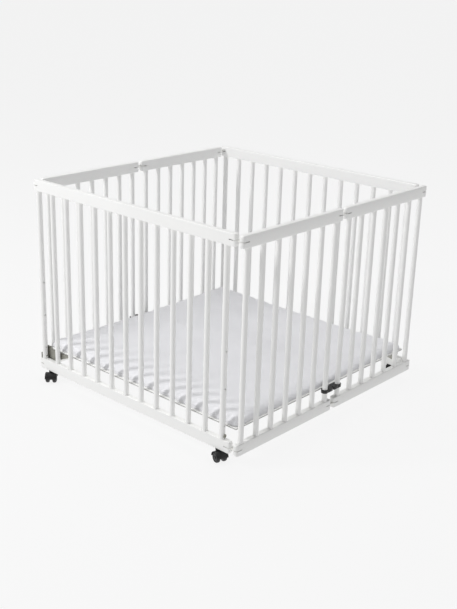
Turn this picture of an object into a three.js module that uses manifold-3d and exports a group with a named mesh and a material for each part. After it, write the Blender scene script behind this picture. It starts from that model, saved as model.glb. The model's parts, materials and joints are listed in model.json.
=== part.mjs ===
// Folding wooden playpen: two rigid barred sides joined by two sides that fold inwards in the middle,
// on four twin-wheel castors, with a two-board floor and a padded mat.
// Millimetres, +Z up, origin on the ground under the middle of the pen.
// The front rigid side faces -Y, the right folding side faces +X.
import * as THREE from "three";
import { mergeVertices } from "three/addons/utils/BufferGeometryUtils.js";
import Module from "manifold-3d";

// Overall size
const WIDTH = 1040; // outer faces of the folding sides, along X
const DEPTH = 1040; // outer faces of the rigid sides, along Y
const RAIL_UNDERSIDE = 46; // height of the castors
const PEN_TOP = 796;

// Timber sections
const RAIL_THICK = 22;
const RAIL_HIGH = 42;
const RAIL_CORNER = 9; // radius of a rail's corners seen from the side
const EDGE_ROUND = 3; // rounding of the long edges
const POST_RADIUS = 10.4;
const POST_SIDES = 18;
const BAR_RADIUS = 10;
const BAR_SIDES = 12;
const JOINT_GAP = 0.3; // between pieces that touch
const TENON = 6; // how far a bar runs into the bottom rail

// Hinges
const CORNER_GAP = 10; // rail end to the neighbouring side's inner face
const MIDDLE_GAP = 12; // between the two halves of a folding side
const PIN_RADIUS = 3;
const PIN_HALF = 16; // half of a pin's length
const PLATE_THICK = 2.4;
const PLATE_HALF_WIDE = 9;
const KERF_HIGH = 3.4;
const KERF_DEEP = 27;

// Bars
const RIGID_BARS = 11;
const RIGID_SPACING = 78.4;
const RIGID_ROW_SHIFT = -10; // the rigid sides' uprights sit off the middle of their rails
const HALF_BARS = 7;
const MIDDLE_BAR = 37.5; // first bar's distance from the middle of a folding side
const RIGHT_LAST_BAR = 490;
const LEFT_LAST_BAR = 457;

// Floor, mat, brackets and stays
const FLOOR_UNDERSIDE = 128;
const FLOOR_THICK = 5;
const FLOOR_HALF_WIDE = 492;
const FLOOR_EDGE = 494.8; // outer edge of a board, from the middle line
const FLOOR_MIDDLE_GAP = 1; // inner edge of a board or mat half, from the middle line
const MAT_TOP = 162;
const MAT_HALF_WIDE = 490;
const MAT_EDGE = 492;
const MAT_ROUND = 9;
const BRACKET_THICK = 2.5;
const BRACKET_TIP = 124.5; // from the post's middle
const BRACKET_STEP = 45.5; // where the web starts to taper
const EAR_TO = 27; // the web's ear beside the floor's edge
const EAR_TOP = 151;
const EAR_HOLE = { along: 15, height: 138.5, radius: 4.2 };
const BRACKET_BOTTOM = 72;
const BRACKET_STEP_BOTTOM = 85;
const BRACKET_LIP = 8; // depth of the web's tip, and of the shelf
const TAB_HALF_WIDE = 9;
const TAB_TOP = 110;
const BOLT_HEIGHT = 99;
const SPARE_HOLES = [136, 268, 400];
const HOLE_RADIUS = 3.2;
const BOLT_RADIUS = 2.9;
const BOLT_HEAD_RADIUS = 7;
const BOLT_HEAD_HIGH = 3;
const STAY_BOTTOM = 105;
const STAY_RING_RADIUS = 13.5;
const STAY_BORE = 10.4;
const STAY_HUB_RADIUS = 16.3;
const STAY_OUTER_FLAT = 12; // its flat outer face, from the bars' plane
const STAY_TONGUE = 20; // how far its tongue reaches in under the floor

// Castors
const WHEEL_RADIUS = 19;
const WHEEL_OUTER = 24; // wheel's outer face to the castor's middle plane
const WHEEL_INNER = 3.6;
const AXLE_RADIUS = 3;
const HOOD_RADIUS = 22.4;
const HOOD_HALF_WIDE = 24.8;
const HOOD_WEB = 3; // half the thickness of the web between the wheels
const HOOD_WEB_RADIUS = 9;
const HOOD_LOWER_EDGE = 21;
const HOOD_BOSS_RADIUS = 10;
const TRAIL = 12; // axle's distance behind the swivel axis
const STEM_RADIUS = 4;
const STEM_TOP = 66;
const SOCKET_RADIUS = 6;
const SOCKET_TOP = 70;
const SOCKET_FLANGE_RADIUS = 10.6;
const SOCKET_FLANGE_THICK = 3;
const CASTOR_REACH = 445; // swivel axis from the rigid side's middle
const TURNED = { front_left: 132, front_right: 161, back_left: 228, back_right: 101 }; // degrees

const RAIL_HALF = RAIL_THICK / 2;
const PIN_INSET = RAIL_HALF; // a pin stands at the centre of the rounded rail end
const PITCH = RAIL_THICK + CORNER_GAP; // pin to pin at a corner
const RIGHT_X = WIDTH / 2 - RAIL_HALF; // centre plane of the right side
const LEFT_X = -RIGHT_X;
const RIGID_Y = DEPTH / 2 - RAIL_HALF; // centre plane of the back side
const RIGID_START = -WIDTH / 2; // the rigid sides cover the left side's ends
const RIGID_END = WIDTH / 2 - RAIL_THICK - CORNER_GAP; // and stop inside the right side
const RIGID_MIDDLE = (RIGID_START + RIGID_END) / 2;
const RIGHT_HALF_END = DEPTH / 2;
const LEFT_HALF_END = DEPTH / 2 - PITCH;
const MIDDLE_PIN = MIDDLE_GAP / 2 + PIN_INSET;
const POST_OFFSET = ((RIGID_BARS + 1) / 2) * RIGID_SPACING; // the posts continue the bars' spacing
const BOTTOM_RAIL_Z = RAIL_UNDERSIDE + RAIL_HIGH / 2;
const TOP_RAIL_Z = PEN_TOP - RAIL_HIGH / 2;
const BAR_TOP = PEN_TOP - RAIL_HIGH - JOINT_GAP;
const RAIL_LEVELS = { bottom: BOTTOM_RAIL_Z, top: TOP_RAIL_Z };

const lacquer = new THREE.MeshStandardMaterial({ color: 0xf1f1f0, roughness: 0.4, metalness: 0 });
const zinc = new THREE.MeshStandardMaterial({ color: 0x8d8c86, roughness: 0.4, metalness: 0.9 });
const fabric = new THREE.MeshStandardMaterial({ color: 0xd3d2d8, roughness: 0.9, metalness: 0 });
const board = new THREE.MeshStandardMaterial({ color: 0xe9e8e4, roughness: 0.6, metalness: 0 });
const blackPlastic = new THREE.MeshStandardMaterial({ color: 0x18181a, roughness: 0.5, metalness: 0 });

const wasm = await Module();
wasm.setup();

// ---- solids -------------------------------------------------------------------------------------
function solidOf(geometry) {
  const bare = new THREE.BufferGeometry();
  bare.setAttribute("position", geometry.getAttribute("position"));
  if (geometry.index) bare.setIndex(geometry.index);
  const merged = mergeVertices(bare, 1e-4);
  return new wasm.Manifold(
    new wasm.Mesh({
      numProp: 3,
      vertProperties: merged.getAttribute("position").array,
      triVerts: new Uint32Array(merged.index.array),
    }),
  );
}

function geometryOf(solid) {
  const mesh = solid.getMesh();
  const geometry = new THREE.BufferGeometry();
  geometry.setAttribute("position", new THREE.BufferAttribute(new Float32Array(mesh.vertProperties), 3));
  geometry.setIndex(new THREE.BufferAttribute(new Uint32Array(mesh.triVerts), 1));
  const flat = geometry.toNonIndexed();
  flat.computeVertexNormals();
  return flat;
}

const joined = (first, ...rest) => rest.reduce((whole, piece) => whole.add(piece), first);
const cutBy = (first, ...rest) => rest.reduce((whole, piece) => whole.subtract(piece), first);

function box(x0, x1, y0, y1, z0, z1) {
  const geometry = new THREE.BoxGeometry(x1 - x0, y1 - y0, z1 - z0);
  geometry.translate((x0 + x1) / 2, (y0 + y1) / 2, (z0 + z1) / 2);
  return solidOf(geometry);
}

// Round rods along Z, along Y and along X, from one end to the other.
function uprightRod(x, y, z0, z1, radius, sides = 12) {
  const geometry = new THREE.CylinderGeometry(radius, radius, z1 - z0, sides);
  geometry.rotateX(Math.PI / 2);
  geometry.translate(x, y, (z0 + z1) / 2);
  return solidOf(geometry);
}

function crossRod(x, z, y0, y1, radius, sides = 12) {
  const geometry = new THREE.CylinderGeometry(radius, radius, y1 - y0, sides);
  geometry.translate(x, (y0 + y1) / 2, z);
  return solidOf(geometry);
}

function sideRod(y, z, x0, x1, radius, sides = 12) {
  const geometry = new THREE.CylinderGeometry(radius, radius, x1 - x0, sides);
  geometry.rotateZ(Math.PI / 2);
  geometry.translate((x0 + x1) / 2, y, z);
  return solidOf(geometry);
}

// A rectangle with round corners, centred on the origin.
function roundRectangle(long, high, radius) {
  const x = long / 2;
  const y = high / 2;
  const shape = new THREE.Shape();
  shape.absarc(x - radius, y - radius, radius, 0, Math.PI / 2);
  shape.absarc(radius - x, y - radius, radius, Math.PI / 2, Math.PI);
  shape.absarc(radius - x, radius - y, radius, Math.PI, Math.PI * 1.5);
  shape.absarc(x - radius, radius - y, radius, Math.PI * 1.5, Math.PI * 2);
  return shape;
}

function upright(shape, z0, z1, curveSegments = 5) {
  const geometry = new THREE.ExtrudeGeometry(shape, { depth: z1 - z0, bevelEnabled: false, curveSegments });
  geometry.translate(0, 0, z0);
  return solidOf(geometry);
}

// A polygon given as [x, z] corners, with its thickness along Y from y0 to y1.
function sheetMetal(corners, y0, y1) {
  const shape = new THREE.Shape(corners.map(([x, z]) => new THREE.Vector2(x, z)));
  const geometry = new THREE.ExtrudeGeometry(shape, { depth: y1 - y0, bevelEnabled: false });
  geometry.rotateX(Math.PI / 2);
  geometry.translate(0, y1, 0);
  return solidOf(geometry);
}

// ---- timber -------------------------------------------------------------------------------------
// A rail lies along X in its side's own frame: round ends in plan, round corners, eased long edges,
// and at each end a level saw kerf and the bore of the hinge pin.
function railSolid(x0, x1, z) {
  const length = x1 - x0;
  const face = new THREE.ExtrudeGeometry(roundRectangle(length, RAIL_HIGH, RAIL_CORNER), {
    depth: RAIL_THICK - 2 * EDGE_ROUND,
    bevelThickness: EDGE_ROUND,
    bevelSize: EDGE_ROUND,
    bevelOffset: -EDGE_ROUND,
    bevelSegments: 1,
    curveSegments: 3,
  });
  face.translate(0, 0, EDGE_ROUND - RAIL_HALF);
  face.rotateX(Math.PI / 2);
  const plan = upright(roundRectangle(length, RAIL_THICK + 0.02, RAIL_HALF), -RAIL_HIGH, RAIL_HIGH, 5);
  const timber = solidOf(face)
    .intersect(plan)
    .translate([(x0 + x1) / 2, 0, z]);
  const ends = [
    [x0 - 1, x0 + KERF_DEEP, x0 + PIN_INSET],
    [x1 - KERF_DEEP, x1 + 1, x1 - PIN_INSET],
  ];
  const cuts = ends.flatMap(([from, to, pin]) => [
    box(from, to, -RAIL_THICK, RAIL_THICK, z - KERF_HIGH / 2, z + KERF_HIGH / 2),
    uprightRod(pin, 0, z - PIN_HALF - 1, z + PIN_HALF + 1, PIN_RADIUS + JOINT_GAP, 8),
  ]);
  return cutBy(timber, ...cuts);
}

function lowerRailWithBars(x0, x1, barPlaces) {
  const bars = barPlaces.map((x) =>
    uprightRod(x, 0, RAIL_UNDERSIDE + RAIL_HIGH - TENON, BAR_TOP, BAR_RADIUS, BAR_SIDES),
  );
  return joined(railSolid(x0, x1, BOTTOM_RAIL_Z), ...bars);
}

function postSolid(x) {
  const bottom = RAIL_UNDERSIDE + RAIL_HIGH + JOINT_GAP;
  const blank = uprightRod(x, 0, bottom, BAR_TOP, POST_RADIUS, POST_SIDES);
  const holes = [BOLT_HEIGHT, ...SPARE_HOLES].map((z) =>
    sideRod(0, z, x - 2 * POST_RADIUS, x + 2 * POST_RADIUS, HOLE_RADIUS, 10),
  );
  return cutBy(blank, ...holes);
}

// ---- hinge hardware -----------------------------------------------------------------------------
// A link plate with a pin at each end, lying along Y from the first pin to the second.
function linkSolid(pinToPin, z, secondPin = true) {
  const long = pinToPin + 2 * PLATE_HALF_WIDE;
  const outline = roundRectangle(2 * PLATE_HALF_WIDE, long, PLATE_HALF_WIDE - 0.01);
  const half = PLATE_THICK / 2;
  const plate = upright(outline, z - half, z + half, 4).translate([0, pinToPin / 2, 0]);
  const pin = (y) => uprightRod(0, y, z - PIN_HALF, z + PIN_HALF, PIN_RADIUS, 8);
  if (secondPin) return joined(plate, pin(0), pin(pinToPin));
  // The open pivot: a slot in place of the second pin, so that the loose pin can leave it.
  const slotWide = PIN_RADIUS + 0.6;
  const slot = joined(
    uprightRod(0, pinToPin, z - RAIL_HALF, z + RAIL_HALF, slotWide, 12),
    box(-slotWide, slotWide, pinToPin, long, z - RAIL_HALF, z + RAIL_HALF),
  );
  return joined(cutBy(plate, slot), pin(0));
}

// ---- floor hardware -----------------------------------------------------------------------------
// The front left post's bracket and bolt, with the post's middle at the origin: a tapering web along
// the post's inner side with an ear beside the floor's edge, a shelf for the floor board, and a tab
// round the post's outer side.
const WEB_FROM = RAIL_HALF + JOINT_GAP;
const WEB_TO = WEB_FROM + BRACKET_THICK;
const TAB_TO = -POST_RADIUS - JOINT_GAP;
const TAB_FROM = TAB_TO - BRACKET_THICK;
const BRACKET_TOP = FLOOR_UNDERSIDE - JOINT_GAP;

function bracketSolid() {
  const web = sheetMetal(
    [
      [TAB_FROM, BRACKET_BOTTOM],
      [BRACKET_STEP, BRACKET_STEP_BOTTOM],
      [BRACKET_TIP, BRACKET_TOP - BRACKET_LIP],
      [BRACKET_TIP, BRACKET_TOP],
      [EAR_TO, BRACKET_TOP],
      [EAR_TO, EAR_TOP - 5],
      [EAR_TO - 5, EAR_TOP],
      [TAB_FROM, EAR_TOP],
    ],
    WEB_FROM,
    WEB_TO,
  );
  const shelfTo = WEB_FROM + BRACKET_LIP + 0.5;
  const shelf = box(TAB_FROM, BRACKET_TIP, WEB_FROM, shelfTo, BRACKET_TOP - BRACKET_THICK, BRACKET_TOP);
  const tabBottom = RAIL_UNDERSIDE + RAIL_HIGH + 2 * JOINT_GAP;
  const tab = box(TAB_FROM, TAB_TO, -TAB_HALF_WIDE, WEB_TO, tabBottom, TAB_TOP);
  const hole = sideRod(0, BOLT_HEIGHT, TAB_FROM - 5, TAB_TO + 5, HOLE_RADIUS, 10);
  const { along, height, radius } = EAR_HOLE;
  const earHole = crossRod(along, height, WEB_FROM - 5, WEB_TO + 5, radius, 12);
  return cutBy(joined(web, shelf, tab), hole, earHole);
}

// The bolt through a post, its head against the bracket's tab or against the post itself.
function boltSolid(seat) {
  const underHead = seat - JOINT_GAP;
  return joined(
    sideRod(0, BOLT_HEIGHT, underHead - BOLT_HEAD_HIGH, underHead, BOLT_HEAD_RADIUS, 16),
    sideRod(0, BOLT_HEIGHT, underHead - 1, POST_RADIUS - 1, BOLT_RADIUS, 10),
  );
}

// One arm of the stay at floor level: a ring round the bar next to the middle hinge, a lobe about the
// hinge pin's axis and a tongue that reaches in under the floor. barX is negative, inward is +Y.
function staySolid(barX) {
  const top = FLOOR_UNDERSIDE - JOINT_GAP;
  const ring = uprightRod(barX, 0, STAY_BOTTOM, top, STAY_RING_RADIUS, 20);
  const lobe = uprightRod(-MIDDLE_PIN, 0, STAY_BOTTOM, top, STAY_HUB_RADIUS, 24);
  const outline = joined(ring, lobe);
  const flats = box(-100, 0, -STAY_OUTER_FLAT, STAY_OUTER_FLAT + 2, STAY_BOTTOM - 1, top + 1);
  const tongueFrom = barX + 8;
  const tongueTo = 5 - MIDDLE_PIN;
  const tongue = box(tongueFrom, tongueTo, 0, STAY_TONGUE, STAY_BOTTOM + 6, top);
  const bore = uprightRod(barX, 0, STAY_BOTTOM - 1, top + 1, STAY_BORE, BAR_SIDES);
  return cutBy(joined(outline.intersect(flats), tongue), bore);
}

function floorBoardSolid() {
  const long = FLOOR_EDGE - FLOOR_MIDDLE_GAP;
  const outline = roundRectangle(2 * FLOOR_HALF_WIDE, long, 4);
  const top = FLOOR_UNDERSIDE + FLOOR_THICK;
  return upright(outline, FLOOR_UNDERSIDE, top, 2).translate([0, -(FLOOR_EDGE + FLOOR_MIDDLE_GAP) / 2, 0]);
}

function matSolid() {
  const long = MAT_EDGE - FLOOR_MIDDLE_GAP;
  const bottom = FLOOR_UNDERSIDE + FLOOR_THICK + JOINT_GAP;
  const geometry = new THREE.ExtrudeGeometry(roundRectangle(2 * MAT_HALF_WIDE, long, 16), {
    depth: MAT_TOP - bottom - 2 * MAT_ROUND,
    bevelThickness: MAT_ROUND,
    bevelSize: MAT_ROUND,
    bevelOffset: -MAT_ROUND,
    bevelSegments: 3,
    curveSegments: 4,
  });
  geometry.translate(0, -(MAT_EDGE + FLOOR_MIDDLE_GAP) / 2, bottom + MAT_ROUND);
  return solidOf(geometry);
}

// ---- castors ------------------------------------------------------------------------------------
// A castor about its own swivel axis: the axle lies along Y and trails behind, towards -X.
function castorSocketSolid() {
  const flangeTop = RAIL_UNDERSIDE - JOINT_GAP;
  const flangeBottom = flangeTop - SOCKET_FLANGE_THICK;
  const body = joined(
    uprightRod(0, 0, flangeBottom, flangeTop, SOCKET_FLANGE_RADIUS, 20),
    uprightRod(0, 0, flangeBottom, SOCKET_TOP, SOCKET_RADIUS, 12),
  );
  return cutBy(body, uprightRod(0, 0, flangeBottom - 1, SOCKET_TOP + 1, STEM_RADIUS + JOINT_GAP, 12));
}

function castorHoodSolid() {
  const flangeBottom = RAIL_UNDERSIDE - JOINT_GAP - SOCKET_FLANGE_THICK;
  const shoulder = flangeBottom - JOINT_GAP;
  const cover = crossRod(-TRAIL, WHEEL_RADIUS, -HOOD_HALF_WIDE, HOOD_HALF_WIDE, HOOD_RADIUS, 22);
  const boss = uprightRod(0, 0, HOOD_LOWER_EDGE, shoulder, HOOD_BOSS_RADIUS, 16);
  const stem = uprightRod(0, 0, shoulder - 2, STEM_TOP, STEM_RADIUS, 12);
  const web = crossRod(-TRAIL, WHEEL_RADIUS, -HOOD_WEB, HOOD_WEB, HOOD_WEB_RADIUS, 20);
  const room = WHEEL_RADIUS + 0.9;
  const wheelRooms = [
    [-HOOD_HALF_WIDE - 1, -HOOD_WEB],
    [HOOD_WEB, HOOD_HALF_WIDE + 1],
  ].map(([from, to]) => crossRod(-TRAIL, WHEEL_RADIUS, from, to, room, 22));
  const below = box(-60, 60, -60, 60, -10, HOOD_LOWER_EDGE);
  const above = cutBy(joined(cover, boss), below, ...wheelRooms);
  const bore = crossRod(-TRAIL, WHEEL_RADIUS, -HOOD_WEB - 1, HOOD_WEB + 1, AXLE_RADIUS + JOINT_GAP, 12);
  return cutBy(joined(above, web, stem), bore);
}

function castorWheelsSolid() {
  const profile = [
    [0, WHEEL_INNER],
    [WHEEL_RADIUS, WHEEL_INNER],
    [WHEEL_RADIUS, WHEEL_OUTER - 7],
    [WHEEL_RADIUS - 2, WHEEL_OUTER - 3.5],
    [WHEEL_RADIUS - 5, WHEEL_OUTER - 1.4],
    [WHEEL_RADIUS - 9, WHEEL_OUTER - 0.5],
    [0, WHEEL_OUTER],
  ].map(([radius, along]) => new THREE.Vector2(radius, along));
  const wheel = solidOf(new THREE.LatheGeometry(profile, 20));
  const axle = crossRod(0, 0, -WHEEL_INNER - 2, WHEEL_INNER + 2, AXLE_RADIUS, 12);
  return joined(wheel, wheel.mirror([0, 1, 0]), axle).translate([-TRAIL, 0, WHEEL_RADIUS]);
}

// ---- assembly -----------------------------------------------------------------------------------
const group = new THREE.Group();

function place(name, solid, material) {
  const mesh = new THREE.Mesh(geometryOf(solid), material);
  mesh.name = name;
  group.add(mesh);
}

const turned = (solid, degrees) => solid.rotate([0, 0, degrees]);
const onRight = (solid) => turned(solid, 90).translate([RIGHT_X, 0, 0]);
const onLeft = (solid) => turned(solid, 90).translate([LEFT_X, 0, 0]);
const series = (count, make) => Array.from({ length: count }, (_, i) => make(i));
const CASTOR_X = { left: RIGID_MIDDLE - CASTOR_REACH, right: RIGID_MIDDLE + CASTOR_REACH };
const ROW_MIDDLE = RIGID_MIDDLE + RIGID_ROW_SHIFT;
const POST_X = { left: ROW_MIDDLE - POST_OFFSET, right: ROW_MIDDLE + POST_OFFSET };

// The two rigid sides.
const rigidBars = series(RIGID_BARS, (i) => ROW_MIDDLE + (i - (RIGID_BARS - 1) / 2) * RIGID_SPACING);
const socketBores = Object.values(CASTOR_X).map((x) =>
  uprightRod(x, 0, RAIL_UNDERSIDE - 1, SOCKET_TOP + 1, SOCKET_RADIUS + JOINT_GAP, 12),
);
const rigidLower = cutBy(lowerRailWithBars(RIGID_START, RIGID_END, rigidBars), ...socketBores);
for (const [side, y] of [["front", -RIGID_Y], ["back", RIGID_Y]]) {
  place(`${side}_top_rail`, railSolid(RIGID_START, RIGID_END, TOP_RAIL_Z).translate([0, y, 0]), lacquer);
  place(`${side}_lower_rail`, rigidLower.translate([0, y, 0]), lacquer);
  for (const [hand, x] of Object.entries(POST_X)) {
    place(`${side}_${hand}_post`, postSolid(x).translate([0, y, 0]), lacquer);
  }
}

// The four halves of the folding sides.
const halves = [
  ["right", onRight, RIGHT_HALF_END, RIGHT_LAST_BAR],
  ["left", onLeft, LEFT_HALF_END, LEFT_LAST_BAR],
];
for (const [hand, stand, end, lastBar] of halves) {
  const spacing = (lastBar - MIDDLE_BAR) / (HALF_BARS - 1);
  const bars = series(HALF_BARS, (i) => -MIDDLE_BAR - i * spacing);
  const frontHalf = {
    top_rail: railSolid(-end, -MIDDLE_GAP / 2, TOP_RAIL_Z),
    lower_rail: lowerRailWithBars(-end, -MIDDLE_GAP / 2, bars),
  };
  for (const [piece, solid] of Object.entries(frontHalf)) {
    place(`${hand}_front_${piece}`, stand(solid), lacquer);
    place(`${hand}_rear_${piece}`, stand(solid.mirror([1, 0, 0])), lacquer);
  }
  const inward = hand === "right" ? 1 : -1;
  const stay = inward > 0 ? staySolid(-MIDDLE_BAR) : staySolid(-MIDDLE_BAR).mirror([0, 1, 0]);
  place(`stay_${hand}_front`, stand(stay), blackPlastic);
  place(`stay_${hand}_rear`, stand(stay.mirror([1, 0, 0])), blackPlastic);
}

// Hinges: at the bottom and the top rails alike.
for (const [level, z] of Object.entries(RAIL_LEVELS)) {
  const rigidPin = RIGID_END - PIN_INSET;
  const rightCorner = turned(linkSolid(PITCH, z), -90);
  place(`link_front_right_${level}`, rightCorner.translate([rigidPin, -RIGID_Y, 0]), zinc);
  place(`link_back_right_${level}`, rightCorner.translate([rigidPin, RIGID_Y, 0]), zinc);
  place(`link_front_left_${level}`, linkSolid(PITCH, z).translate([LEFT_X, -RIGID_Y, 0]), zinc);
  const openLink = turned(linkSolid(PITCH, z, false), 180).translate([LEFT_X, RIGID_Y, 0]);
  place(`link_back_left_${level}`, openLink, zinc);
  const loosePin = uprightRod(LEFT_X, RIGID_Y - PITCH, z - PIN_HALF, z + PIN_HALF, PIN_RADIUS, 8);
  place(`pin_back_left_${level}`, loosePin, zinc);
  for (const [hand, x] of [["right", RIGHT_X], ["left", LEFT_X]]) {
    const middle = linkSolid(2 * MIDDLE_PIN, z).translate([x, -MIDDLE_PIN, 0]);
    place(`link_${hand}_middle_${level}`, middle, zinc);
  }
}

// Floor, mat and the brackets that carry them.
place("floor_board_front", floorBoardSolid(), board);
place("floor_board_rear", turned(floorBoardSolid(), 180), board);
place("mat_front", matSolid(), fabric);
place("mat_rear", turned(matSolid(), 180), fabric);
place("bracket_front_left", bracketSolid().translate([POST_X.left, -RIGID_Y, 0]), zinc);
place("bracket_back_right", turned(bracketSolid(), 180).translate([POST_X.right, RIGID_Y, 0]), zinc);
const tabBolt = boltSolid(TAB_FROM);
const plainBolt = boltSolid(-POST_RADIUS).mirror([1, 0, 0]);
place("bolt_front_left", tabBolt.translate([POST_X.left, -RIGID_Y, 0]), zinc);
place("bolt_front_right", plainBolt.translate([POST_X.right, -RIGID_Y, 0]), zinc);
place("bolt_back_left", turned(plainBolt, 180).translate([POST_X.left, RIGID_Y, 0]), zinc);
place("bolt_back_right", turned(tabBolt, 180).translate([POST_X.right, RIGID_Y, 0]), zinc);

// Castors under the rigid sides, each swung to its own angle.
for (const [corner, degrees] of Object.entries(TURNED)) {
  const [side, hand] = corner.split("_");
  const at = [CASTOR_X[hand], side === "front" ? -RIGID_Y : RIGID_Y, 0];
  place(`castor_${corner}_socket`, castorSocketSolid().translate(at), blackPlastic);
  place(`castor_${corner}_hood`, turned(castorHoodSolid(), degrees).translate(at), blackPlastic);
  place(`castor_${corner}_wheels`, turned(castorWheelsSolid(), degrees).translate(at), blackPlastic);
}

export default group;
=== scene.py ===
"""A folding wooden playpen: white lacquered barred sides, castors, floor board and padded mat."""
import json
import math
import bmesh
import bpy
from mathutils import Matrix, Vector, noise


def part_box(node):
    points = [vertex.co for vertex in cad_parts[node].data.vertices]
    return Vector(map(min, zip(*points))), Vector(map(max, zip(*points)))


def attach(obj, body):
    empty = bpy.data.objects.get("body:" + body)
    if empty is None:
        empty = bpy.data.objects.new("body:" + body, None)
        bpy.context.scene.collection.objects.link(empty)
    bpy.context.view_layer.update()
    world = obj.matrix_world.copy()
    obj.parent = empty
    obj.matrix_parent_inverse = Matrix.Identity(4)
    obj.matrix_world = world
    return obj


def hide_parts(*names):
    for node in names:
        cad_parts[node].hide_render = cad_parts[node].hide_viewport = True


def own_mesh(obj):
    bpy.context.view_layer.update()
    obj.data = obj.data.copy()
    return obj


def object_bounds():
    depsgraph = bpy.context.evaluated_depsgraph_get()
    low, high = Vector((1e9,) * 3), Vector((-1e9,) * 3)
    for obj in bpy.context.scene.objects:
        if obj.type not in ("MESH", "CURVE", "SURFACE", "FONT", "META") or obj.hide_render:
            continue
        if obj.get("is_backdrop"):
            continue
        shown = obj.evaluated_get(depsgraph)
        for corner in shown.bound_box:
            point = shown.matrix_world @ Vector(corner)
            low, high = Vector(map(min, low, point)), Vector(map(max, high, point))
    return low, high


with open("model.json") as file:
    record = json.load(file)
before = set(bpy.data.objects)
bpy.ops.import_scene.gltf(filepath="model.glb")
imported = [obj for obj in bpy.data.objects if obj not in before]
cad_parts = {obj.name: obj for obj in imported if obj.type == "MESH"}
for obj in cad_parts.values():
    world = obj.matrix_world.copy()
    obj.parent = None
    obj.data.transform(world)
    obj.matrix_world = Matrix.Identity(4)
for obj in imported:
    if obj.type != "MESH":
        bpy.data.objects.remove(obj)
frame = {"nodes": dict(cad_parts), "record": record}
cad_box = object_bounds()
MM = 0.001

# ---- Camera and studio ---------------------------------------------------------------------------
# A long lens looking down on the corner between the rigid front and the folding right side. The room
# is a pale sweep that glows faintly, under a key lamp at the front left, a wide lamp overhead and even
# white light from all round.
SEEN_FROM = Vector((2.3686, -2.6451, 1.5930))
AIMED_AT = Vector((0, -0.0002, 0.3136))
CAMERA_ROLL = math.radians(1.67)
LENS = 76.62  # millimetres, on a 36 mm sensor

ahead = (AIMED_AT - SEEN_FROM).normalized()
across = ahead.cross(Vector((0, 0, 1))).normalized()
upward = across.cross(ahead)
camera_x = across * math.cos(CAMERA_ROLL) + upward * math.sin(CAMERA_ROLL)
camera_y = upward * math.cos(CAMERA_ROLL) - across * math.sin(CAMERA_ROLL)
camera = bpy.data.objects.new("camera", bpy.data.cameras.new("camera"))
camera_turn = Matrix((camera_x, camera_y, -ahead)).transposed().to_4x4()
camera.matrix_world = Matrix.Translation(SEEN_FROM) @ camera_turn
camera.data.sensor_fit = "HORIZONTAL"
camera.data.sensor_width = 36
camera.data.lens = LENS
camera.data.clip_end = 100
bpy.context.scene.collection.objects.link(camera)
bpy.context.scene.camera = camera
bpy.context.scene.view_settings.view_transform = "Standard"


def colour(hex_code):
    """An sRGB hex value as the linear colour that a socket takes."""
    parts = [int(hex_code[i:i + 2], 16) / 255 for i in (1, 3, 5)]
    return (*[c / 12.92 if c <= 0.04045 else ((c + 0.055) / 1.055) ** 2.4 for c in parts], 1)


def add(tree, kind, inputs=None, **settings):
    """A new node: settings are its own properties, inputs are its sockets' values or links."""
    node = tree.nodes.new(kind)
    for key, value in settings.items():
        setattr(node, key, value)
    for key, value in (inputs or {}).items():
        if isinstance(value, bpy.types.NodeSocket):
            tree.links.new(value, node.inputs[key])
        else:
            node.inputs[key].default_value = value
    return node


def material(name):
    """An empty material, and the tree that its nodes go in."""
    made = bpy.data.materials.new(name)
    made.use_nodes = True
    made.node_tree.nodes.clear()
    return made, made.node_tree


SWEEP_GLOW = 0.871
SWEEP_SIZE = 80
ROOM_LIGHT = 0.281
LAMPS_AIM_AT = Vector((0, 0, 0.4))
LAMPS = {  # place, diameter in metres, watts
    "key_lamp": ((-2.2, -3.6, 3.4), 1.2, 122),
    "top_lamp": ((-0.3, 0.6, 4.2), 2.4, 69.5),
}

# Matt paper without any shine. Its own faint glow keeps the ground even and nearly free of shadow.
sweep_finish, tree = material("matt white studio paper")
shader = add(tree, "ShaderNodeBsdfPrincipled", {
    "Base Color": colour("#4C4C4C"), "Roughness": 1.0, "Specular IOR Level": 0.0,
    "Emission Color": colour("#FFFFFF"), "Emission Strength": SWEEP_GLOW})
add(tree, "ShaderNodeOutputMaterial", {"Surface": shader.outputs[0]})
bpy.ops.mesh.primitive_plane_add(size=SWEEP_SIZE)
sweep = bpy.context.object
sweep.name = "studio_floor"
sweep.data.materials.append(sweep_finish)
sweep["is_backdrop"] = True

world = bpy.data.worlds.new("studio")
bpy.context.scene.world = world
world.use_nodes = True
room_light = world.node_tree.nodes["Background"]
room_light.inputs["Color"].default_value = colour("#FFFFFF")
room_light.inputs["Strength"].default_value = ROOM_LIGHT

for name, (place, size, watts) in LAMPS.items():
    lamp = bpy.data.objects.new(name, bpy.data.lights.new(name, "AREA"))
    lamp.data.shape = "DISK"
    lamp.data.size = size
    lamp.data.energy = watts
    lamp_turn = (LAMPS_AIM_AT - Vector(place)).to_track_quat("-Z", "Y").to_matrix().to_4x4()
    lamp.matrix_world = Matrix.Translation(place) @ lamp_turn
    bpy.context.scene.collection.objects.link(lamp)

# ---- Rails ---------------------------------------------------------------------------------------
# Planed beech, 22 by 42 mm, with eased edges, ends rounded in plan to clear the neighbour as the side
# swings, and a level saw kerf at each end for the hinge plate, all under white lacquer.
RAIL_EASE = 3.2 * MM
RAIL_CORNER = 9 * MM
KERF_HALF = 1.7 * MM
KERF_DEEP = 27 * MM
KERF_STOP = 2.3 * MM
PIN_BORE = 3.3 * MM
PIN_BORE_HALF = 17 * MM
NOSE_ANGLES = (6, 14, 23, 32, 41, 50, 59, 68, 79, 90)
GRAIN_ALONG = 6
GRAIN_ACROSS = 170


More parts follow.
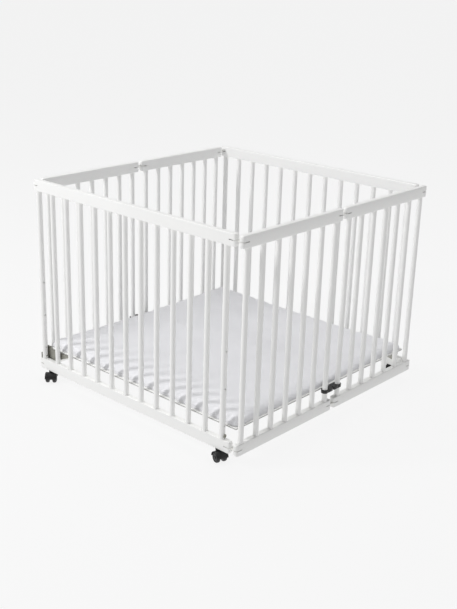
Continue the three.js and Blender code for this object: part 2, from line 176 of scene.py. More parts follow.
def lacquered_beech(name, along):
    """White lacquer over beech: the grain telegraphs through as faint ridges along the timber, and
    the film is satin, a little uneven in gloss."""
    made, tree = material(name)
    stretch = [GRAIN_ACROSS] * 3
    stretch["XYZ".index(along)] = GRAIN_ALONG
    place = add(tree, "ShaderNodeTexCoord")
    grain = add(tree, "ShaderNodeMapping", {"Vector": place.outputs["Object"], "Scale": stretch})
    ridges = add(tree, "ShaderNodeTexNoise", {"Vector": grain.outputs[0], "Scale": 3.0, "Detail": 4})
    drift = add(tree, "ShaderNodeTexNoise", {"Vector": place.outputs["Object"], "Scale": 9.0, "Detail": 2})
    tint = add(tree, "ShaderNodeMix", {
        "Factor": drift.outputs["Fac"], "A": colour("#F3F3F2"), "B": colour("#F8F8F7")}, data_type="RGBA")
    gloss = add(tree, "ShaderNodeMapRange", {"Value": drift.outputs["Fac"], "To Min": 0.34, "To Max": 0.46})
    relief = add(tree, "ShaderNodeBump", {
        "Height": ridges.outputs["Fac"], "Strength": 0.12, "Distance": 0.3 * MM})
    shader = add(tree, "ShaderNodeBsdfPrincipled", {
        "Base Color": tint.outputs["Result"], "Roughness": gloss.outputs[0], "Normal": relief.outputs[0],
        "Coat Weight": 0.15, "Coat Roughness": 0.3})
    add(tree, "ShaderNodeOutputMaterial", {"Surface": shader.outputs[0]})
    return made


BEECH = {along: lacquered_beech(f"white lacquered beech, grain {along}", along) for along in "XYZ"}


def piece(name, mesh, finish, slot, body, *stands_for, sharp=35):
    """A finished piece: its mesh in place, smooth but for its sharp edges, riding on its body."""
    mesh.materials.clear()
    mesh.materials.append(finish)
    mesh.shade_smooth()
    mesh.set_sharp_from_angle(angle=math.radians(sharp))
    made = bpy.data.objects.new(name, mesh)
    bpy.context.scene.collection.objects.link(made)
    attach(made, body)
    if stands_for:
        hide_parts(*stands_for)
    return made


def plain_mesh(obj, name):
    """The object's evaluated mesh as a mesh of its own; the object is removed."""
    bpy.context.view_layer.update()
    seen = obj.evaluated_get(bpy.context.evaluated_depsgraph_get())
    mesh = bpy.data.meshes.new_from_object(seen)
    mesh.name = name
    bpy.data.objects.remove(obj)
    return mesh


def from_bmesh(bm, name):
    """A mesh made from bm with its faces turned outwards; bm is freed."""
    mesh = bpy.data.meshes.new(name)
    bmesh.ops.recalc_face_normals(bm, faces=bm.faces)
    bm.to_mesh(mesh)
    bm.free()
    return mesh


def cut(mesh, cutter, name):
    """The mesh with the cutter's shape taken out of it."""
    whole = bpy.data.objects.new(name, mesh)
    tool = bpy.data.objects.new(name + "_tool", cutter)
    for obj in (whole, tool):
        bpy.context.scene.collection.objects.link(obj)
    change = whole.modifiers.new("cut", "BOOLEAN")
    change.object = tool
    change.solver = "EXACT"
    change.use_self = True
    result = plain_mesh(whole, name)
    bpy.data.objects.remove(tool)
    return result


def rod(bm, radius, start, end, sides=24):
    """A solid rod between two points, added to bm."""
    start, end = Vector(start), Vector(end)
    turn = (end - start).to_track_quat("Z", "Y").to_matrix().to_4x4()
    place = Matrix.Translation((start + end) / 2) @ turn
    bmesh.ops.create_cone(bm, cap_ends=True, segments=sides, radius1=radius, radius2=radius,
                          depth=(end - start).length, matrix=place)


def block(bm, low, high):
    """A rectangular block between two corners, added to bm."""
    low, high = Vector(low), Vector(high)
    place = Matrix.Translation((low + high) / 2) @ Matrix.Diagonal((*(high - low), 1))
    bmesh.ops.create_cube(bm, size=1, matrix=place)


def rounded_section(half_y, half_z, ease, steps=4):
    """Points round a rectangle with eased corners, in Y and Z."""
    ease = min(ease, 0.95 * half_y)
    points = []
    for quarter, (sy, sz) in enumerate(((1, 1), (-1, 1), (-1, -1), (1, -1))):
        for step in range(steps + 1):
            angle = math.pi / 2 * (quarter + step / steps)
            y = sy * (half_y - ease) + ease * math.cos(angle)
            z = sz * (half_z - ease) + ease * math.sin(angle)
            points.append((y, z))
    return points


def rail_mesh(low, high, name):
    """A rail along X between two X values, kerfed and bored at both ends, its middle at Y 0 and Z 0."""
    half_y, half_z = RAIL_THICK / 2, RAIL_HIGH / 2
    nose = [half_y * (1 - math.cos(math.radians(angle))) for angle in NOSE_ANGLES]
    stations = [low + s for s in nose] + [high - s for s in reversed(nose)]
    bm = bmesh.new()
    rings = []
    for x in stations:
        back = min(x - low, high - x)
        thin = math.sqrt(max(half_y**2 - max(half_y - back, 0) ** 2, 0))
        drop = RAIL_CORNER - math.sqrt(RAIL_CORNER**2 - max(RAIL_CORNER - back, 0) ** 2)
        rings.append([bm.verts.new((x, y, z)) for y, z in rounded_section(thin, half_z - drop, RAIL_EASE)])
    for one, two in zip(rings, rings[1:]):
        for i in range(len(one)):
            j = (i + 1) % len(one)
            bm.faces.new((one[i], one[j], two[j], two[i]))
    bm.faces.new(rings[0])
    bm.faces.new(rings[-1])
    tool = bmesh.new()
    for end, inward in ((low, 1), (high, -1)):
        slot_ends = sorted((end - inward * MM, end + inward * KERF_DEEP))
        block(tool, (slot_ends[0], -RAIL_THICK, -KERF_HALF), (slot_ends[1], RAIL_THICK, KERF_HALF))
        stop = end + inward * KERF_DEEP
        rod(tool, KERF_STOP, (stop, -RAIL_THICK, 0), (stop, RAIL_THICK, 0), 20)
        pin = end + inward * half_y
        rod(tool, PIN_BORE, (pin, 0, -PIN_BORE_HALF), (pin, 0, PIN_BORE_HALF), 20)
    return cut(from_bmesh(bm, name), from_bmesh(tool, name + "_kerfs"), name)


def moved(mesh, matrix):
    """A copy of the mesh, put in place by the matrix."""
    copy = mesh.copy()
    copy.transform(matrix)
    return copy


front_low, front_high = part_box("front_top_rail")
RAIL_THICK = front_high.y - front_low.y
RAIL_HIGH = front_high.z - front_low.z
QUARTER = Matrix.Rotation(math.pi / 2, 4, "Z")
RAILS = {
    "front_side": ("front_top_rail", "front_lower_rail"),
    "back_side": ("back_top_rail", "back_lower_rail"),
    "right_front": ("right_front_top_rail", "right_front_lower_rail"),
    "right_rear": ("right_rear_top_rail", "right_rear_lower_rail"),
    "left_front": ("left_front_top_rail", "left_front_lower_rail"),
    "left_rear": ("left_rear_top_rail", "left_rear_lower_rail"),
}
rail_blanks = {}
for body, nodes in RAILS.items():
    for node in nodes:
        low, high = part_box(node)
        along = "X" if high.x - low.x > high.y - low.y else "Y"
        length = round(max(high.x - low.x, high.y - low.y), 4)
        if length not in rail_blanks:
            rail_blanks[length] = rail_mesh(-length / 2, length / 2, f"rail_{length * 1000:.0f}")
        level = high.z - RAIL_HIGH / 2 if "top" in node else low.z + RAIL_HIGH / 2
        place = Matrix.Translation(((low.x + high.x) / 2, (low.y + high.y) / 2, level))
        if along == "Y":
            place = place @ QUARTER
        stock = moved(rail_blanks[length], place)
        piece(node.replace("lower", "bottom") + "_timber", stock, BEECH[along], "white_lacquer", body, node)

# ---- Bars ----------------------------------------------------------------------------------------
# Turned beech dowels, 19 mm thick, glued into blind bores in both rails. One evenly spaced row fills
# each rigid side and each half of a folding side.
BAR_RADIUS = 9.5 * MM
BAR_TENON = 8 * MM
SIDE_PLANE = 509 * MM  # middle of each side's timber, from the middle of the pen
RIGID_FIRST_BAR = -418 * MM
RIGID_SPACING = 78.4 * MM
FOLDING_FIRST_BAR = 37.5 * MM
RIGHT_SPACING = 75.4167 * MM
LEFT_SPACING = 69.9167 * MM
BAR_ROWS = {  # number of bars, the first bar's place and the step to the next
    "front_side": (11, (RIGID_FIRST_BAR, -SIDE_PLANE), (RIGID_SPACING, 0)),
    "back_side": (11, (RIGID_FIRST_BAR, SIDE_PLANE), (RIGID_SPACING, 0)),
    "right_front": (7, (SIDE_PLANE, -FOLDING_FIRST_BAR), (0, -RIGHT_SPACING)),
    "right_rear": (7, (SIDE_PLANE, FOLDING_FIRST_BAR), (0, RIGHT_SPACING)),
    "left_front": (7, (-SIDE_PLANE, -FOLDING_FIRST_BAR), (0, -LEFT_SPACING)),
    "left_rear": (7, (-SIDE_PLANE, FOLDING_FIRST_BAR), (0, LEFT_SPACING)),
}

bar_tree = bpy.data.node_groups.new("row of bars", "GeometryNodeTree")
for name, kind in (("Bars", "Int"), ("First", "Vector"), ("Step", "Vector"), ("Thickness", "Float"),
                   ("Length", "Float"), ("Finish", "Material")):
    bar_tree.interface.new_socket(name, in_out="INPUT", socket_type="NodeSocket" + kind)
bar_tree.interface.new_socket("Bars made", in_out="OUTPUT", socket_type="NodeSocketGeometry")
given = add(bar_tree, "NodeGroupInput").outputs
feet = add(bar_tree, "GeometryNodeMeshLine", {
    "Count": given["Bars"], "Start Location": given["First"], "Offset": given["Step"]})
top = add(bar_tree, "ShaderNodeCombineXYZ", {"Z": given["Length"]})
axis = add(bar_tree, "GeometryNodeCurvePrimitiveLine", {"End": top.outputs[0]})
half = add(bar_tree, "ShaderNodeMath", {0: given["Thickness"], 1: 0.5}, operation="MULTIPLY")
section = add(bar_tree, "GeometryNodeCurvePrimitiveCircle", {"Resolution": 36, "Radius": half.outputs[0]})
dowel = add(bar_tree, "GeometryNodeCurveToMesh", {
    "Curve": axis.outputs[0], "Profile Curve": section.outputs[0], "Fill Caps": True})
row = add(bar_tree, "GeometryNodeInstanceOnPoints", {
    "Points": feet.outputs[0], "Instance": dowel.outputs[0]})
solid = add(bar_tree, "GeometryNodeRealizeInstances", {"Geometry": row.outputs[0]})
painted = add(bar_tree, "GeometryNodeSetMaterial", {
    "Geometry": solid.outputs[0], "Material": given["Finish"]})
add(bar_tree, "NodeGroupOutput", {"Bars made": painted.outputs[0]})


def grown(name, tree, values):
    """A mesh grown by a node tree from its named inputs."""
    holder = bpy.data.objects.new(name, bpy.data.meshes.new(name))
    bpy.context.scene.collection.objects.link(holder)
    growth = holder.modifiers.new(name, "NODES")
    growth.node_group = tree
    for socket in tree.interface.items_tree:
        if socket.in_out == "INPUT" and socket.name in values:
            growth[socket.identifier] = values[socket.name]
    return plain_mesh(holder, name)


bar_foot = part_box("front_lower_rail")[0].z + RAIL_HIGH - BAR_TENON
bar_length = front_low.z + BAR_TENON - bar_foot
for body, (count, first, step) in BAR_ROWS.items():
    values = {"Bars": count, "First": (*first, bar_foot), "Step": (*step, 0.0),
              "Thickness": 2 * BAR_RADIUS, "Length": bar_length, "Finish": BEECH["Z"]}
    dowels = grown(f"{body}_bars", bar_tree, values)
    piece(f"{body}_bars", dowels, BEECH["Z"], "white_lacquer", body, RAILS[body][1])

# ---- Posts ---------------------------------------------------------------------------------------
# Round beech posts at the ends of each rigid side, a little thicker than the bars and bored across in
# a row of bolt holes that set the height of the floor.
POST_TENON = 2 * MM
HOLE_RADIUS = 3.4 * MM
HOLE_HEIGHTS = (99 * MM, 136 * MM, 268 * MM, 400 * MM)

for node in ("front_left_post", "front_right_post", "back_left_post", "back_right_post"):
    low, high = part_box(node)
    middle = (low + high) / 2
    bm = bmesh.new()
    foot = (middle.x, middle.y, low.z - POST_TENON)
    head = (middle.x, middle.y, high.z + POST_TENON)
    rod(bm, (high.y - low.y) / 2, foot, head, 48)
    tool = bmesh.new()
    for height in HOLE_HEIGHTS:
        rod(tool, HOLE_RADIUS, (low.x - MM, middle.y, height), (high.x + MM, middle.y, height))
    post = cut(from_bmesh(bm, node), from_bmesh(tool, node + "_holes"), node + "_timber")
    body = "front_side" if "front" in node else "back_side"
    piece(node + "_timber", post, BEECH["Z"], "white_lacquer", body, node)

# ---- Hinge links ---------------------------------------------------------------------------------
# Flat nickel-plated steel links in the saw kerfs, each riveted to the upright pins it turns on. The
# plates are blanked from strip, so their edges are slightly rolled over.
LINK_EDGE = 0.3 * MM


def bevelled(bm, width, segments=3, angle=30):
    """Rounds every edge of bm that turns by more than the angle."""
    turned = [e for e in bm.edges if e.is_manifold and e.calc_face_angle(0) > math.radians(angle)]
    bmesh.ops.bevel(bm, geom=turned, offset=width, offset_type="OFFSET", segments=segments,
                    profile=0.5, affect="EDGES", clamp_overlap=True)


def eased_copy(node, width, segments=2, angle=30):
    """A CAD node's shape with its triangles joined into faces and its edges rounded."""
    bm = bmesh.new()
    bm.from_mesh(frame["nodes"][node].data)
    bmesh.ops.remove_doubles(bm, verts=bm.verts, dist=1e-5)
    bmesh.ops.dissolve_limit(bm, angle_limit=math.radians(1), verts=bm.verts, edges=bm.edges)
    bevelled(bm, width, segments, angle)
    return from_bmesh(bm, node + "_eased")


# Nickel plating is pale and bright, but satin: it shines softly, unevenly, and mirrors nothing.
plated, tree = material("bright nickel-plated steel, satin")
place = add(tree, "ShaderNodeTexCoord")
brushed = add(tree, "ShaderNodeTexNoise", {"Vector": place.outputs["Object"], "Scale": 180.0, "Detail": 3})
gloss = add(tree, "ShaderNodeMapRange", {"Value": brushed.outputs["Fac"], "To Min": 0.4, "To Max": 0.55})
shader = add(tree, "ShaderNodeBsdfPrincipled", {
    "Base Color": colour("#E6E6E3"), "Roughness": gloss.outputs[0], "Metallic": 0.35})
add(tree, "ShaderNodeOutputMaterial", {"Surface": shader.outputs[0]})

body_of = {node: body for body, nodes in frame["record"]["behaviour"]["bodies"].items() for node in nodes}
for node, body in body_of.items():
    if node.startswith(("link_", "pin_")):
        piece(node + "_steel", eased_copy(node, LINK_EDGE), plated, "zinc_steel", body, node)

# ---- Floor brackets and bolts --------------------------------------------------------------------
# Pressed steel brackets: a tapering web against the post, a shelf for the board's edge and a tab
# round the post's side, held by a bolt through the post with a socket in its round head.
BRACKET_EDGE = 0.7 * MM
EAR_FOOT = 128 * MM
EAR_SHARE = 0.45  # of the ear's height over its foot, so that it clears the folded mat
BOLT_EDGE = 0.9 * MM
SOCKET_RADIUS = 2.6 * MM
SOCKET_DEEP = 2.0 * MM

# Dull zinc is a warm mid grey, cloudy from place to place, with a fine spangle in its shine.
zinc, tree = material("zinc-plated steel, dull")
place = add(tree, "ShaderNodeTexCoord")
spangle = add(tree, "ShaderNodeTexNoise", {"Vector": place.outputs["Object"], "Scale": 220.0, "Detail": 3})
cloud = add(tree, "ShaderNodeTexNoise", {"Vector": place.outputs["Object"], "Scale": 35.0, "Detail": 2})
tint = add(tree, "ShaderNodeMix", {
    "Factor": cloud.outputs["Fac"], "A": colour("#8E8D84"), "B": colour("#A9A8A0")}, data_type="RGBA")
gloss = add(tree, "ShaderNodeMapRange", {"Value": spangle.outputs["Fac"], "To Min": 0.32, "To Max": 0.5})
relief = add(tree, "ShaderNodeBump", {
    "Height": spangle.outputs["Fac"], "Strength": 0.1, "Distance": 0.2 * MM})
shader = add(tree, "ShaderNodeBsdfPrincipled", {
    "Base Color": tint.outputs["Result"], "Roughness": gloss.outputs[0], "Normal": relief.outputs[0],
    "Metallic": 0.9})
add(tree, "ShaderNodeOutputMaterial", {"Surface": shader.outputs[0]})

for node, body in body_of.items():
    if node.startswith("bracket_"):
        bracket = eased_copy(node, BRACKET_EDGE, 3)
        for vertex in bracket.vertices:
            vertex.co.z = min(vertex.co.z, EAR_FOOT + (vertex.co.z - EAR_FOOT) * EAR_SHARE)
        piece(node + "_steel", bracket, zinc, "zinc_steel", body, node)
    if node.startswith("bolt_"):
        low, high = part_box(node)
        bm = bmesh.new()
        bm.from_mesh(eased_copy(node, BOLT_EDGE, 3))
        tool = bmesh.new()
        head = low.x if abs(low.x) > abs(high.x) else high.x
        inward = 1 if head < 0 else -1
        mouth = (head - inward * MM, (low.y + high.y) / 2, (low.z + high.z) / 2)
        bottom = (head + inward * SOCKET_DEEP, (low.y + high.y) / 2, (low.z + high.z) / 2)
        rod(tool, SOCKET_RADIUS, mouth, bottom, 6)
        bolt = cut(from_bmesh(bm, node), from_bmesh(tool, node + "_socket"), node + "_steel")
        piece(node + "_steel", bolt, zinc, "zinc_steel", body, node)

# ---- Stays ---------------------------------------------------------------------------------------
# Black moulded plastic arms at floor level, each clipped round the bar next to a middle hinge. The arm
# is a slim strap at the bar and at the hinge's pin, and a tongue inside it carries the floor's edge.
STAY_EDGE = 1.2 * MM
STRAP_TOP = 134 * MM
STRAP_SHARE = 0.55  # of the arm's height, wherever it lies further out than LOBES_FROM
LOBES_FROM = 494 * MM

# Near black, with a fine grit that scatters the light and patches rubbed a little smoother.
black_plastic, tree = material("black polypropylene, fine spark finish")
place = add(tree, "ShaderNodeTexCoord")
grit = add(tree, "ShaderNodeTexNoise", {"Vector": place.outputs["Object"], "Scale": 900.0, "Detail": 2})
wear = add(tree, "ShaderNodeTexNoise", {"Vector": place.outputs["Object"], "Scale": 60.0, "Detail": 3})
tint = add(tree, "ShaderNodeMix", {
    "Factor": wear.outputs["Fac"], "A": colour("#101011"), "B": colour("#1C1C1E")}, data_type="RGBA")
gloss = add(tree, "ShaderNodeMapRange", {"Value": wear.outputs["Fac"], "To Min": 0.38, "To Max": 0.52})
relief = add(tree, "ShaderNodeBump", {
    "Height": grit.outputs["Fac"], "Strength": 0.15, "Distance": 0.2 * MM})
shader = add(tree, "ShaderNodeBsdfPrincipled", {
    "Base Color": tint.outputs["Result"], "Roughness": gloss.outputs[0], "Normal": relief.outputs[0]})
add(tree, "ShaderNodeOutputMaterial", {"Surface": shader.outputs[0]})

for node, body in body_of.items():
    if node.startswith("stay_"):
        stay = eased_copy(node, STAY_EDGE, 3, 40)
        stay_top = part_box(node)[1].z
        for vertex in stay.vertices:
            if abs(vertex.co.x) > LOBES_FROM:
                vertex.co.z = STRAP_TOP - (stay_top - vertex.co.z) * STRAP_SHARE
        piece(node + "_plastic", stay, black_plastic, "black_plastic", body, node)

# ---- Castors -------------------------------------------------------------------------------------
# Twin-wheel castors in black nylon: a hood that swivels on a steel stem over two dished wheels with
# rounded treads, turning on one axle behind the stem.
WHEEL_RADIUS = 19 * MM
TRAIL = 12 * MM
SWUNG = {"front_left": 132, "front_right": 161, "back_left": 228, "back_right": 101}  # degrees from X
WHEEL_PROFILE = [  # radius and distance from the middle plane in mm, from the inner hub to the outer
    (0.4, 4.4), (9.0, 4.4), (11.0, 6.0), (15.5, 6.2), (17.4, 7.2), (18.6, 9.2), (19.0, 11.6),
    (19.0, 14.2), (18.5, 16.6), (17.3, 18.6), (15.6, 20.0), (14.6, 20.4), (13.9, 20.0), (13.0, 18.6),
    (6.6, 18.6), (5.8, 19.0), (5.2, 20.6), (4.6, 21.0), (0.4, 21.2)]
AXLE_RADIUS = 3 * MM
AXLE_HALF = 5 * MM
HOOD_LIFT = 1  # mm that the hood's arch starts above the axle
HOOD_ARC = [math.radians(angle) for angle in range(-4, 185, 7)]
HOOD_SECTION = [  # radius and distance from the middle plane in mm
    (19.8, -21.4), (19.8, 21.4), (20.2, 22.0), (21.0, 21.8), (21.5, 20.0), (21.6, 16.0), (21.6, -16.0),
    (21.5, -20.0), (21.0, -21.8), (20.2, -22.0)]
BOSS_RADIUS = 8.6 * MM
BOSS_HALF = 3.2 * MM
WEB_REACH = 8 * MM
WEB_HALF = 3 * MM
WEB_RISE = 20 * MM
NECK_RADIUS = 9.5 * MM
NECK_FROM_TO = (34 * MM, 42.3 * MM)
STEM_RADIUS = 4 * MM
STEM_FROM_TO = (40 * MM, 66 * MM)
FLANGE_RADIUS = 10.5 * MM
FLANGE_EDGE = 0.8 * MM
FLANGE_FROM_TO = (42.8 * MM, 45.7 * MM)
SLEEVE_RADIUS = 6 * MM
SLEEVE_FROM_TO = (44 * MM, 70 * MM)

# Tumbled nylon is black with a low shine, scuffed to a greyer tone in small patches.
tyre, tree = material("black nylon, tumbled")
place = add(tree, "ShaderNodeTexCoord")
scuff = add(tree, "ShaderNodeTexNoise", {"Vector": place.outputs["Object"], "Scale": 140.0, "Detail": 4})
tint = add(tree, "ShaderNodeMix", {
    "Factor": scuff.outputs["Fac"], "A": colour("#131314"), "B": colour("#242426")}, data_type="RGBA")
gloss = add(tree, "ShaderNodeMapRange", {"Value": scuff.outputs["Fac"], "To Min": 0.28, "To Max": 0.48})
shader = add(tree, "ShaderNodeBsdfPrincipled", {
    "Base Color": tint.outputs["Result"], "Roughness": gloss.outputs[0]})
add(tree, "ShaderNodeOutputMaterial", {"Surface": shader.outputs[0]})


def spun(bm, profile, centre, sides=48):
    """A solid spun from (radius, along) points about the axis along Y through centre, added to bm."""
    rings = []
    for k in range(sides):
        angle = 2 * math.pi * k / sides
        ring = []
        for radius, along in profile:
            out = Vector((radius * math.cos(angle), along, radius * math.sin(angle)))
            ring.append(bm.verts.new(Vector(centre) + out))
        rings.append(ring)
    for k in range(sides):
        one, two = rings[k], rings[(k + 1) % sides]
        for i in range(len(profile) - 1):
            bm.faces.new((one[i], one[i + 1], two[i + 1], two[i]))
    for i in (0, len(profile) - 1):
        bm.faces.new([ring[i] for ring in rings])


wheels = bmesh.new()
for side in (1, -1):
    spun(wheels, [(r * MM, side * a * MM) for r, a in WHEEL_PROFILE], (-TRAIL, 0, WHEEL_RADIUS))
rod(wheels, AXLE_RADIUS, (-TRAIL, -AXLE_HALF, WHEEL_RADIUS), (-TRAIL, AXLE_HALF, WHEEL_RADIUS))
wheel_pair = from_bmesh(wheels, "wheel_pair")

hood = bmesh.new()
hood_rings = []
for angle in HOOD_ARC:
    ring = []
    for radius, y in HOOD_SECTION:
        x = -TRAIL + radius * MM * math.cos(angle)
        z = WHEEL_RADIUS + HOOD_LIFT * MM + (radius - HOOD_LIFT) * MM * math.sin(angle)
        ring.append(hood.verts.new((x, y * MM, z)))
    hood_rings.append(ring)
for one, two in zip(hood_rings, hood_rings[1:]):
    for i in range(len(one)):
        j = (i + 1) % len(one)
        hood.faces.new((one[i], one[j], two[j], two[i]))
hood.faces.new(hood_rings[0])
hood.faces.new(hood_rings[-1])
rod(hood, BOSS_RADIUS, (-TRAIL, -BOSS_HALF, WHEEL_RADIUS), (-TRAIL, BOSS_HALF, WHEEL_RADIUS), 32)
block(hood, (-TRAIL - WEB_REACH, -WEB_HALF, WHEEL_RADIUS), (WEB_REACH, WEB_HALF, WHEEL_RADIUS + WEB_RISE))
rod(hood, NECK_RADIUS, (0, 0, NECK_FROM_TO[0]), (0, 0, NECK_FROM_TO[1]), 32)
rod(hood, STEM_RADIUS, (0, 0, STEM_FROM_TO[0]), (0, 0, STEM_FROM_TO[1]))
hood_mesh = from_bmesh(hood, "castor_hood")

socket = bmesh.new()
rod(socket, FLANGE_RADIUS, (0, 0, FLANGE_FROM_TO[0]), (0, 0, FLANGE_FROM_TO[1]), 40)
bevelled(socket, FLANGE_EDGE)
rod(socket, SLEEVE_RADIUS, (0, 0, SLEEVE_FROM_TO[0]), (0, 0, SLEEVE_FROM_TO[1]))
socket_mesh = from_bmesh(socket, "castor_socket")

for corner, degrees in SWUNG.items():
    low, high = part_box(f"castor_{corner}_socket")
    stem = Matrix.Translation(((low.x + high.x) / 2, (low.y + high.y) / 2, 0))
    place = stem @ Matrix.Rotation(math.radians(degrees), 4, "Z")
    node = f"castor_{corner}_"
    piece(node + "nylon_wheels", moved(wheel_pair, place), tyre, "black_plastic",
          node + "axle", node + "wheels")
    piece(node + "nylon_hood", moved(hood_mesh, place), black_plastic, "black_plastic",
          node + "swivel", node + "hood", sharp=40)
    piece(node + "nylon_socket", moved(socket_mesh, place), black_plastic, "black_plastic",
          body_of[node + "socket"], node + "socket")

# ---- Floor board ---------------------------------------------------------------------------------
# Two panels of 5 mm fibreboard faced with white foil, lying on the brackets and the stays' tongues,
# with their sawn edges painted a darker grey: painted shade for the thin shadow line along the board's
# edge.
BOARD_EDGE = 0.5 * MM

# Foil is flat white with the faintest grain; faces that stand upright, the sawn edges, are painted darker
# as shade.
board_foil, tree = material("white foil on fibreboard")
place = add(tree, "ShaderNodeTexCoord")
pressed = add(tree, "ShaderNodeTexNoise", {"Vector": place.outputs["Object"], "Scale": 400.0, "Detail": 2})
# Painted shade: the more upright a face stands, the darker grey it is painted.
facing = add(tree, "ShaderNodeNewGeometry")
lean = add(tree, "ShaderNodeSeparateXYZ", {0: facing.outputs["True Normal"]})
flat = add(tree, "ShaderNodeMath", {0: lean.outputs["Z"]}, operation="ABSOLUTE")
tint = add(tree, "ShaderNodeMix", {
    "Factor": flat.outputs[0], "A": colour("#C4C4C2"), "B": colour("#EFEFED")}, data_type="RGBA")
relief = add(tree, "ShaderNodeBump", {
    "Height": pressed.outputs["Fac"], "Strength": 0.1, "Distance": 0.2 * MM})
shader = add(tree, "ShaderNodeBsdfPrincipled", {
    "Base Color": tint.outputs["Result"], "Roughness": 0.55, "Normal": relief.outputs[0]})
add(tree, "ShaderNodeOutputMaterial", {"Surface": shader.outputs[0]})

for node in ("floor_board_front", "floor_board_rear"):
    piece(node + "_panel", eased_copy(node, BOARD_EDGE), board_foil, "floor_board", body_of[node], node)

# ---- Mat -----------------------------------------------------------------------------------------
# A foam pad in a pale grey woven cover with a piped seam round its foot. It is one pad that folds on
# its middle line, so it is blown up in one and then parted there.
MAT_CAP = 7 * MM  # the most that the pressure may push the cover out
PAD_LIFT = 0.6 * MM
PAD_HALF_X = 491 * MM
PAD_HALF_Y = 492 * MM
PAD_CORNER = 16 * MM
PAD_RIM = 15 * MM
VOXEL = 8 * MM
RESTING_TO = 3 * MM
PRESSURE = 3
SHRINK = -0.012  # below nought: the cover is cut larger than the foam
CLOTH_QUALITY = 5
CLOTH_STEPS = 20
SEAM_TO = 6 * MM
CROWN = 3 * MM
BROAD_SWELL = (6.0, 1.6)  # swells to the metre, and their height in mm
FINE_SWELL = (17.0, 0.5)
FINE_SHIFT = Vector((3, 1, 7))
CREASE_DEEP = 5.5 * MM  # where the bars press the pad's edge in
CREASE_HALF = 9 * MM
CREASE_REACH = 30 * MM
CREASE_LINE = 496 * MM
CREASE_SPACING = 73 * MM
PARTING = 0.3 * MM

# Crossed threads give a matt weave, a slow drift in the grey keeps it from looking printed, and a
# little sheen softens the cover where it turns away.
woven, tree = material("pale grey cotton weave over foam")
place = add(tree, "ShaderNodeTexCoord")
thread = {"Vector": place.outputs["Object"], "Scale": 260.0, "Distortion": 1.5, "Detail": 1}
warp = add(tree, "ShaderNodeTexWave", thread, bands_direction="X")
weft = add(tree, "ShaderNodeTexWave", thread, bands_direction="Y")
threads = add(tree, "ShaderNodeMath", {0: warp.outputs["Fac"], 1: weft.outputs["Fac"]}, operation="ADD")
slub = add(tree, "ShaderNodeTexNoise", {"Vector": place.outputs["Object"], "Scale": 7.0, "Detail": 4})
tint = add(tree, "ShaderNodeMix", {
    "Factor": slub.outputs["Fac"], "A": colour("#E1E1E4"), "B": colour("#EDEDF0")}, data_type="RGBA")
relief = add(tree, "ShaderNodeBump", {"Height": threads.outputs[0], "Strength": 0.25, "Distance": 0.3 * MM})
shader = add(tree, "ShaderNodeBsdfPrincipled", {
    "Base Color": tint.outputs["Result"], "Roughness": 0.85, "Normal": relief.outputs[0],
    "Sheen Weight": 0.25, "Sheen Roughness": 0.5, "Specular IOR Level": 0.25})
add(tree, "ShaderNodeOutputMaterial", {"Surface": shader.outputs[0]})

mat_low, mat_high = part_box("mat_front")
pad_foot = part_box("floor_board_front")[0].z + PAD_LIFT
bm = bmesh.new()
block(bm, (-PAD_HALF_X, -PAD_HALF_Y, pad_foot), (PAD_HALF_X, PAD_HALF_Y, mat_high.z - MAT_CAP))
upright = [e for e in bm.edges if abs(e.verts[0].co.z - e.verts[1].co.z) > 10 * MM]
bmesh.ops.bevel(bm, geom=upright, offset=PAD_CORNER, segments=4, profile=0.5, affect="EDGES")
rim = [e for e in bm.edges if all(v.co.z > mat_low.z + MM for v in e.verts)]
bmesh.ops.bevel(bm, geom=rim, offset=PAD_RIM, segments=4, profile=0.5, affect="EDGES")
pad = bpy.data.objects.new("pad", from_bmesh(bm, "pad"))
bpy.context.scene.collection.objects.link(pad)
remesh = pad.modifiers.new("voxels", "REMESH")
remesh.mode = "VOXEL"
remesh.voxel_size = VOXEL
pad_mesh = plain_mesh(pad, "pad")
pad = bpy.data.objects.new("pad", pad_mesh)
bpy.context.scene.collection.objects.link(pad)
flat_shape = [v.co.copy() for v in pad_mesh.vertices]
resting = pad.vertex_groups.new(name="resting")
resting.add([v.index for v in pad_mesh.vertices if v.co.z < pad_foot + RESTING_TO], 1.0, "REPLACE")
cover = pad.modifiers.new("cover", "CLOTH")
cover.settings.use_pressure = True
cover.settings.uniform_pressure_force = PRESSURE
cover.settings.effector_weights.gravity = 0
cover.settings.vertex_group_mass = "resting"
cover.settings.shrink_min = SHRINK
cover.settings.quality = CLOTH_QUALITY
cover.point_cache.frame_start = 1
cover.point_cache.frame_end = CLOTH_STEPS
for step in range(1, CLOTH_STEPS + 1):
    bpy.context.scene.frame_set(step)
swollen = plain_mesh(pad, "pad_swollen")
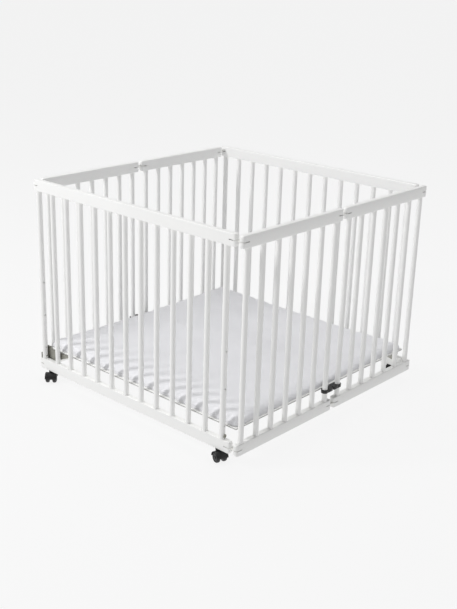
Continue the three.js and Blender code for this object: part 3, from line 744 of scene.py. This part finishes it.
bpy.context.scene.frame_set(1)
for vertex, was in zip(swollen.vertices, flat_shape):
    move = vertex.co - was
    if move.length > 1e-9:
        vertex.co = was + move * (math.tanh(move.length / MAT_CAP) * MAT_CAP / move.length)
pad = bpy.data.objects.new("pad", swollen)
bpy.context.scene.collection.objects.link(pad)
smooth = pad.modifiers.new("smooth", "SUBSURF")
smooth.levels = smooth.render_levels = 1
pad_mesh = plain_mesh(pad, "pad")
front_bars = [RIGID_FIRST_BAR + RIGID_SPACING * k for k in range(-1, 12)]
side_bars = [sign * (FOLDING_FIRST_BAR + CREASE_SPACING * k) for k in range(7) for sign in (-1, 1)]
for vertex in pad_mesh.vertices:
    if vertex.co.z < pad_foot + SEAM_TO:
        continue
    broad = noise.noise(vertex.co * BROAD_SWELL[0]) * BROAD_SWELL[1]
    fine = noise.noise(vertex.co * FINE_SWELL[0] + FINE_SHIFT) * FINE_SWELL[1]
    crease = 0
    for across_bars, along_bars, bars in (
        (vertex.co.y, vertex.co.x, front_bars),
        (vertex.co.x, vertex.co.y, side_bars),
    ):
        inset = CREASE_LINE - abs(across_bars)
        nearest = min(abs(along_bars - bar) for bar in bars)
        crease += math.exp(-((nearest / CREASE_HALF) ** 2) - inset / CREASE_REACH)
    crown = min(vertex.co.z + (broad + fine) * MM, mat_high.z + CROWN)
    vertex.co.z = crown - CREASE_DEEP * crease

for node, side in (("mat_front", -1), ("mat_rear", 1)):
    bm = bmesh.new()
    bm.from_mesh(pad_mesh)
    bmesh.ops.bisect_plane(bm, geom=bm.verts[:] + bm.edges[:] + bm.faces[:],
                           plane_co=(0, side * PARTING, 0), plane_no=(0, -side, 0), clear_outer=True)
    bmesh.ops.edgeloop_fill(bm, edges=[e for e in bm.edges if e.is_boundary])
    half = piece(node + "_cover", from_bmesh(bm, node + "_cover"), woven, "mat_fabric",
                 body_of[node], node, sharp=60)
    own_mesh(half)

size = {"cad": [list(corner) for corner in cad_box], "visual": [list(corner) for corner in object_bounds()]}
